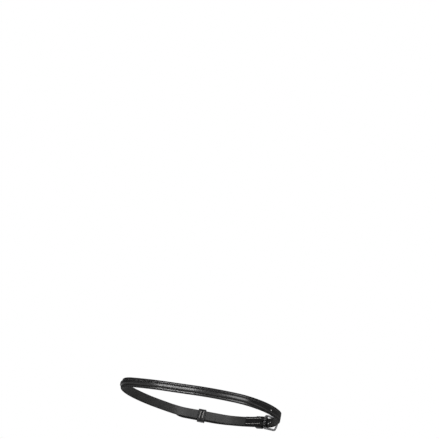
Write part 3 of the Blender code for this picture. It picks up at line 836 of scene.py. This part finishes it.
def keeper_side(start, low, high):
    """Half of a keeper's path: up from a start on the low face, round the leg and onto the high face."""
    corner = KEEPER_LEG - KEEPER_CORNER
    return [
        (start, low),
        *arc(corner, low + KEEPER_CORNER, KEEPER_CORNER, -QUARTER, 0.0, KEEPER_CORNER_STEPS),
        *arc(corner, high - KEEPER_CORNER, KEEPER_CORNER, 0.0, QUARTER, KEEPER_CORNER_STEPS),
    ]


def keeper_rings(path, thicknesses, length, start, origin, heading):
    """Rings across a leather strip: an outer face with a crease by each edge, and rounded edges."""
    rings = []
    for index, ((up, out), thickness) in enumerate(zip(path, thicknesses)):
        before, after = neighbours(path, index)
        step = Vector((after[0] - before[0], after[1] - before[1])).normalized()
        half = thickness / 2.0
        edge = min(KEEPER_EDGE_ROUND, half * KEEPER_ROUND_LIMIT)
        outline = []
        for column in range(KEEPER_COLUMNS + 1):
            along = edge + (length - 2.0 * edge) * (column / KEEPER_COLUMNS)
            from_crease = min(along, length - along) - KEEPER_CREASE_INSET
            groove = KEEPER_CREASE_DEPTH * math.exp(-((from_crease / KEEPER_CREASE_WIDTH) ** 2))
            outline.append((along, half - groove))
        # Round the two edges and across the inner face
        outline += arc(length - edge, half - edge, edge, QUARTER * 0.75, 0.0, 3)
        outline += arc(length - edge, edge - half, edge, 0.0, -QUARTER, 2)
        outline += arc(edge, edge - half, edge, -QUARTER, -2.0 * QUARTER, 2)
        outline += arc(edge, half - edge, edge, QUARTER * 1.75, QUARTER * 1.25, 2)
        rings.append(
            [
                place(origin, heading, start + along, out + step.x * away, up - step.y * away)
                for along, away in outline
            ]
        )
    return rings


def build_keeper(name, rings, body, node):
    leather = leather_grain(name + "_grain", KEEPER_DULL, KEEPER_GLOSS)
    swept(name + "_leather", rings, False, leather, body, "keeper_leather", node, sharp_degrees=50.0)


def build_fixed_keeper():
    foot_out = FOLD_RADIUS - LAYER_GAP - FOOT_THICKNESS / 2.0
    billet_face = FOLD_RADIUS + CHAPE_THICKNESS + LAYER_GAP + STRAP_THICKNESS
    top = billet_face + KEEPER_GAP + KEEPER_THICKNESS / 2.0
    half_path = keeper_side(KEEPER_LEG - FOOT_LENGTH - KEEPER_CORNER, foot_out, top)
    path = filled(half_path + [(-up, out) for up, out in reversed(half_path)], KEEPER_STEP)
    thicknesses = []
    for _, out in path:
        grown = smooth((out - foot_out) / (FOOT_GROWTH_CORNERS * KEEPER_CORNER))
        thicknesses.append(FOOT_THICKNESS + (KEEPER_THICKNESS - FOOT_THICKNESS) * grown)
    rings = keeper_rings(path, thicknesses, FIXED_KEEPER_LENGTH, FIXED_KEEPER_START, BAR, CHAPE_HEADING)
    build_keeper("fixed_keeper", rings, "strap_body", "fixed_keeper")


def runner_origin():
    run_left = CHIN_RIGHT.lerp(CHIN_LEFT, (1.0 + RUN_END_SHARE) / 2.0)
    heading = heading_of(CHIN_LEFT - CHIN_RIGHT)
    return place(run_left, heading, -RUNNER_PLACE, 0.0, 0.0), heading


def build_runner():
    origin, heading = runner_origin()
    low = -(KEEPER_GAP + KEEPER_THICKNESS / 2.0)
    high = 2.0 * STRAP_THICKNESS + LAYER_GAP + KEEPER_GAP + KEEPER_THICKNESS / 2.0
    half_path = keeper_side(RUNNER_JOIN_GAP / 2.0, low, high)
    lower_half = [(-up - BILLET_DROP, out) for up, out in reversed(half_path[1:])]
    path = filled(half_path + lower_half + [(-RUNNER_JOIN_GAP / 2.0, low)], KEEPER_STEP)
    thicknesses = [KEEPER_THICKNESS] * len(path)
    rings = keeper_rings(path, thicknesses, RUNNER_LENGTH, -RUNNER_LENGTH / 2.0, origin, heading)
    build_keeper("runner", rings, "runner", "runner_keeper")


# Thread


def build_thread(name, strands, radius, body, node):
    """Strands of twisted plies: each strand is a list of points with their share of the radius."""
    vertices, faces = [], []
    for strand in strands:
        travelled = 0.0
        first_index = len(vertices)
        for index, (centre, share) in enumerate(strand):
            (before, _), (after, _) = neighbours(strand, index)
            if index:
                travelled += (centre - before).length
            step = (after - before).normalized()
            first = step.cross(OFF_THREAD).normalized()
            second = step.cross(first)
            twist = 2.0 * math.pi * travelled / (radius * TWIST_RADII)
            for number in range(THREAD_SIDES):
                angle = 2.0 * math.pi * number / THREAD_SIDES
                lobe = 1.0 + PLY_HEIGHT * math.cos(PLIES * (angle + twist))
                away = radius * share * (lobe - PLY_SINK)
                aside, across = away * math.cos(angle), away * math.sin(angle)
                vertices.append(centre + first * aside + second * across)
        last_index = len(vertices) - THREAD_SIDES
        for here in range(first_index, last_index, THREAD_SIDES):
            there = here + THREAD_SIDES
            for number in range(THREAD_SIDES):
                after = (number + 1) % THREAD_SIDES
                faces.append((here + number, here + after, there + after, there + number))
        for end in (first_index, last_index):
            faces.append(tuple(range(end, end + THREAD_SIDES)))
    mesh = bpy.data.meshes.new(name)
    mesh.from_pydata(vertices, [], faces)
    mesh.materials.append(thread_material(name))
    finish_mesh(mesh, sharp_degrees=70.0)
    piece(name, mesh, body, "thread", node)


def stitch(start, end, away, radius):
    """One stitch: it comes up out of the leather, lies on it and goes down again."""
    points = []
    for step in range(STITCH_STEPS + 1):
        share = step / STITCH_STEPS
        rise = min(1.0, math.sin(math.pi * share) * STITCH_STEEPNESS)
        lift = radius * STITCH_LIFT_SHARE * rise - STITCH_SINK * (1.0 - rise)
        size = STITCH_END_SIZE + (1.0 - STITCH_END_SIZE) * rise
        points.append((start.lerp(end, share) + away * lift, size))
    return points


def build_chape_stitches(name, up, node):
    strands = []
    for index in range(STITCH_COUNT):
        ends = []
        for share in STITCH_SPAN:
            along = STITCH_ROW_START + (index + share) * STITCH_PITCH
            lean = (share - STITCH_MIDDLE) * STITCH_LEAN
            ends.append(strap_point(-FOLD_ARC - along, up + lean, 1))
        middle = -FOLD_ARC - STITCH_ROW_START - (index + STITCH_MIDDLE) * STITCH_PITCH
        away = right_of(strap_at(middle)[1])
        strands.append(stitch(*ends, away, THREAD_RADIUS))
    build_thread(name, strands, THREAD_RADIUS, "strap_body", node)


def build_runner_stitch(name, side, node):
    origin, heading = runner_origin()
    face = KEEPER_GAP + KEEPER_THICKNESS
    ends = []
    for share in (0.0, 1.0):
        along = side * JOIN_STITCH_SPACING / 2.0 + (0.5 - share) * JOIN_STITCH_LEAN
        ends.append(place(origin, heading, along, -face, (share - 0.5) * JOIN_STITCH_LENGTH))
    strand = stitch(*ends, -right_of(heading), JOIN_THREAD_RADIUS)
    build_thread(name, [strand], JOIN_THREAD_RADIUS, "runner", node)


# Materials


class Nodes:
    """A node tree with short calls, whose inputs are values or the outputs of other nodes."""

    def __init__(self, tree):
        self.tree = tree

    def put(self, node, inputs):
        """Sets or links a node's inputs, by name or number."""
        for name, value in inputs.items():
            if isinstance(value, bpy.types.NodeSocket):
                self.tree.links.new(value, node.inputs[name])
            else:
                node.inputs[name].default_value = value

    def add(self, kind, output, inputs, **settings):
        """The output, by name or number, of a new node."""
        node = self.tree.nodes.new("ShaderNode" + kind)
        for name, value in settings.items():
            setattr(node, name, value)
        self.put(node, inputs)
        return None if output is None else node.outputs[output]

    def mapping(self, vector, scale):
        return self.add("Mapping", "Vector", {"Vector": vector, "Scale": scale})

    def noise(self, vector, per_metre, detail=3.0, roughness=0.55):
        inputs = {"Vector": vector, "Scale": per_metre, "Detail": detail, "Roughness": roughness}
        return self.add("TexNoise", "Fac", inputs)

    def ramp(self, value, low, high, first=0.0, last=1.0, shape="LINEAR"):
        """A value from low to high as one from first to last."""
        inputs = {"Value": value, "From Min": low, "From Max": high, "To Min": first, "To Max": last}
        return self.add("MapRange", "Result", inputs, interpolation_type=shape)

    def math(self, operation, first, second):
        return self.add("Math", "Value", {0: first, 1: second}, operation=operation)

    def mix(self, factor, first, second):
        return self.add("Mix", "Result", {"Factor": factor, "A": first, "B": second})

    def colour(self, factor, first, second):
        """A mix of two colours. Sockets 6, 7 and 2 are the mix node's colours and its mixed colour."""
        return self.add("Mix", 2, {"Factor": factor, 6: first, 7: second}, data_type="RGBA")

    def bumps(self, *layers):
        """A normal bent by layers of height, distance in metres and strength."""
        normal = {}
        for height, distance, strength in layers:
            inputs = {"Height": height, "Distance": distance, "Strength": strength}
            normal = {"Normal": self.add("Bump", "Normal", inputs | normal)}
        return normal["Normal"]


class Material(Nodes):
    """A material. Its place is the object's own and flat() the place on the flat strap, both in metres."""

    def __init__(self, name):
        self.material = bpy.data.materials.new(name)
        self.material.use_nodes = True
        super().__init__(self.material.node_tree)
        self.shader = self.tree.nodes["Principled BSDF"]
        self.place = self.add("TexCoord", "Object", {})

    def flat(self):
        return self.add("UVMap", "UV", {}, uv_map=STRAP_UV)

    def finished(self, inputs):
        self.put(self.shader, inputs)
        return self.material


def leather_grain(name="leather_grain", dull=0.0, gloss=0.62):
    """Dyed, waxed leather: fine pores and cells, a satin finish and worn high spots."""
    made = Material(name)
    scaled = {"Vector": made.place, "Scale": CELLS_PER_METRE}
    cells = made.ramp(made.add("TexVoronoi", "Distance", scaled, feature="DISTANCE_TO_EDGE"), 0.0, 0.3)
    pores = made.noise(made.place, PORES_PER_METRE, detail=2.0)
    slow = made.noise(made.place, 85.0, detail=4.0)
    smear = made.noise(made.place, 420.0, detail=5.0, roughness=0.65)
    satin = made.ramp(smear, 0.3, 0.7, 0.17 + dull, 0.25 + dull)
    relief = (
        (slow, 0.0005, 0.10),
        (smear, 0.00008, 0.10),
        (cells, 0.00002, 0.09),
        (pores, 0.00001, 0.12),
    )
    return made.finished(
        {
            "Base Color": made.colour(made.ramp(slow, 0.42, 0.72), GRAIN_DYE, GRAIN_WORN),
            "Roughness": made.math("ADD", satin, made.ramp(cells, 0.0, 1.0, 0.05, 0.0)),
            "Normal": made.bumps(*relief),
            "Specular IOR Level": gloss,
        }
    )


def leather_flesh():
    """The flesh side: matte, brushed fibres, wrinkled where the strap bends tightly."""
    made = Material("leather_flesh")
    flat = made.flat()
    fibres = made.noise(made.mapping(flat, (900.0, 2600.0, 1.0)), 1.0, detail=5.0, roughness=0.7)
    fuzz = made.noise(made.place, FUZZ_PER_METRE, detail=4.0, roughness=0.7)
    slow = made.noise(made.place, 110.0, detail=4.0)
    blend = made.math("ADD", made.math("MULTIPLY", fibres, 0.55), made.math("MULTIPLY", slow, 0.45))
    wrinkles = made.noise(made.mapping(flat, (620.0, 90.0, 1.0)), 1.0)
    tight = made.ramp(made.add("Attribute", "Fac", {}, attribute_name=BEND), 14.0, 55.0)
    folds = made.math("MULTIPLY", wrinkles, tight)
    return made.finished(
        {
            "Base Color": made.colour(made.ramp(blend, 0.34, 0.66), FLESH_DARK, FLESH_LIGHT),
            "Roughness": made.ramp(fuzz, 0.3, 0.7, 0.40, 0.54),
            "Normal": made.bumps((folds, 0.0009, 0.8), (fibres, 0.00004, 0.6), (fuzz, 0.00003, 0.5)),
            "Specular IOR Level": 0.52,
            "Sheen Weight": 0.08,
            "Sheen Roughness": 0.5,
        }
    )


def leather_edge():
    """Dyed and rubbed edges: duller than the grain side, with faint lines along them."""
    made = Material("leather_edge")
    lines = made.noise(made.mapping(made.flat(), (120.0, 5200.0, 1.0)), 1.0)
    rub = made.noise(made.place, 260.0, detail=4.0)
    return made.finished(
        {
            "Base Color": made.colour(made.ramp(rub, 0.4, 0.75), EDGE_DYE, EDGE_RUBBED),
            "Roughness": made.ramp(rub, 0.3, 0.7, 0.42, 0.60),
            "Normal": made.bumps((lines, 0.00006, 0.7)),
            "Specular IOR Level": 0.08,
        }
    )


def leather_cut():
    """The raw wall of a punched hole."""
    made = Material("leather_cut")
    fibres = made.noise(made.place, 3800.0, detail=4.0, roughness=0.7)
    return made.finished(
        {
            "Base Color": made.colour(fibres, CUT_DARK, CUT_LIGHT),
            "Roughness": 0.85,
            "Normal": made.bumps((fibres, 0.0001, 0.8)),
        }
    )


def steel(name):
    """Dark stainless steel with fine draw lines and a few dull rubs."""
    made = Material(name)
    rub = made.noise(made.place, 380.0, detail=4.0)
    lines = made.noise(made.mapping(made.place, (600.0, 600.0, 5200.0)), 1.0, detail=2.0)
    return made.finished(
        {
            "Base Color": made.colour(made.ramp(rub, 0.35, 0.7), STEEL_BRIGHT, STEEL_RUBBED),
            "Roughness": made.ramp(rub, 0.3, 0.7, 0.20, 0.34),
            "Normal": made.bumps((lines, 0.00002, 0.35)),
            "Metallic": 1.0,
        }
    )


def thread_material(name):
    """Waxed linen thread, grey and a little soiled."""
    made = Material(name + "_thread")
    fibres = made.noise(made.place, 6500.0, roughness=0.7)
    soiled = made.ramp(made.noise(made.place, 420.0), 0.45, 0.75, 0.0, 0.6)
    clean = made.colour(made.ramp(fibres, 0.3, 0.7), THREAD_DARK, THREAD_LIGHT)
    return made.finished(
        {
            "Base Color": made.colour(soiled, clean, THREAD_SOILED),
            "Roughness": 0.62,
            "Normal": made.bumps((fibres, 0.00005, 0.7)),
            "Sheen Weight": 0.2,
        }
    )


# Stage


def build_camera():
    data = bpy.data.cameras.new("camera")
    data.sensor_width = CAMERA_SENSOR
    data.lens = CAMERA_LENS
    data.clip_end = CAMERA_REACH
    camera = add_object("camera", data)
    up = CAMERA_RIGHT.cross(CAMERA_AHEAD).normalized()
    turn = Matrix((CAMERA_RIGHT.normalized(), up, -CAMERA_AHEAD.normalized())).transposed()
    camera.matrix_world = Matrix.Translation(CAMERA_PLACE) @ turn.to_4x4()
    bpy.context.scene.camera = camera


def build_lamp(name, side, rise, distance, width, height, watts):
    """A soft box aimed at the ring."""
    turn, rise = math.radians(side), math.radians(rise)
    towards = Vector((-math.sin(turn) * math.cos(rise), -math.cos(turn) * math.cos(rise), math.sin(rise)))
    data = bpy.data.lights.new(name, "AREA")
    data.shape = "ELLIPSE"
    data.size = width
    data.size_y = height
    data.energy = watts
    lamp = add_object(name, data)
    lamp.location = LAMP_TARGET + towards * distance
    lamp.rotation_mode = "QUATERNION"
    lamp.rotation_quaternion = (LAMP_TARGET - lamp.location).to_track_quat("-Z", "Y")


def build_world():
    """Even light, white to the camera. Gloss sees it white in one fixed direction, the main view's."""
    world = bpy.data.worlds.new("studio")
    bpy.context.scene.world = world
    world.use_nodes = True
    made = Nodes(world.node_tree)
    made.tree.nodes.clear()
    camera_ray, glossy_ray, transmission_ray = (
        made.add("LightPath", f"Is {kind} Ray", {}) for kind in ("Camera", "Glossy", "Transmission")
    )
    direction = made.add("TexCoord", "Generated", {})
    facing = made.add("VectorMath", "Value", {0: direction, 1: CAMERA_AHEAD}, operation="DOT_PRODUCT")
    mirrored = made.ramp(facing, WHITE_CONE, 1.0, WORLD_MIRRORED, 1.0, shape="SMOOTHSTEP")
    shiny = made.math("MAXIMUM", glossy_ray, transmission_ray)
    strength = made.mix(camera_ray, made.mix(shiny, WORLD_LIGHT, mirrored), 1.0)
    background = made.add("Background", "Background", {"Color": WHITE, "Strength": strength})
    made.add("OutputWorld", None, {"Surface": background})


def build_floor():
    """A plain pale floor that runs out to white."""
    mesh = bpy.data.meshes.new("floor")
    corners = []
    for side in range(FLOOR_SIDES):
        angle = 2.0 * math.pi * side / FLOOR_SIDES
        corners.append((FLOOR_HALF * math.cos(angle), FLOOR_HALF * math.sin(angle), -FLOOR_DROP))
    mesh.from_pydata(corners, [], [tuple(range(FLOOR_SIDES))])
    floor = add_object("floor", mesh)
    made = Material("floor")
    away = made.add("VectorMath", "Value", {0: made.place}, operation="LENGTH")
    fade = made.ramp(away, FLOOR_FADE_START, FLOOR_FADE_END, shape="SMOOTHSTEP")
    glow = made.add("Emission", "Emission", {})
    surface = made.add("MixShader", "Shader", {"Fac": fade, 1: made.shader.outputs["BSDF"], 2: glow})
    made.put(made.tree.nodes["Material Output"], {"Surface": surface})
    mesh.materials.append(made.finished({"Base Color": FLOOR_COLOUR, "Roughness": FLOOR_ROUGHNESS}))


def main():
    build_strap()
    build_frame()
    build_tongue()
    build_fixed_keeper()
    build_runner()
    row = STRAP_WIDTH / 2.0 - STITCH_INSET
    build_chape_stitches("chape_thread_upper", row, "chape_stitches_upper")
    build_chape_stitches("chape_thread_lower", -row, "chape_stitches_lower")
    build_runner_stitch("runner_thread_left", 1.0, "runner_stitch_left")
    build_runner_stitch("runner_thread_right", -1.0, "runner_stitch_right")
    build_camera()
    build_world()
    build_floor()
    for lamp in LAMPS:
        build_lamp(*lamp)
    bpy.context.scene.view_settings.view_transform = "Standard"


main()
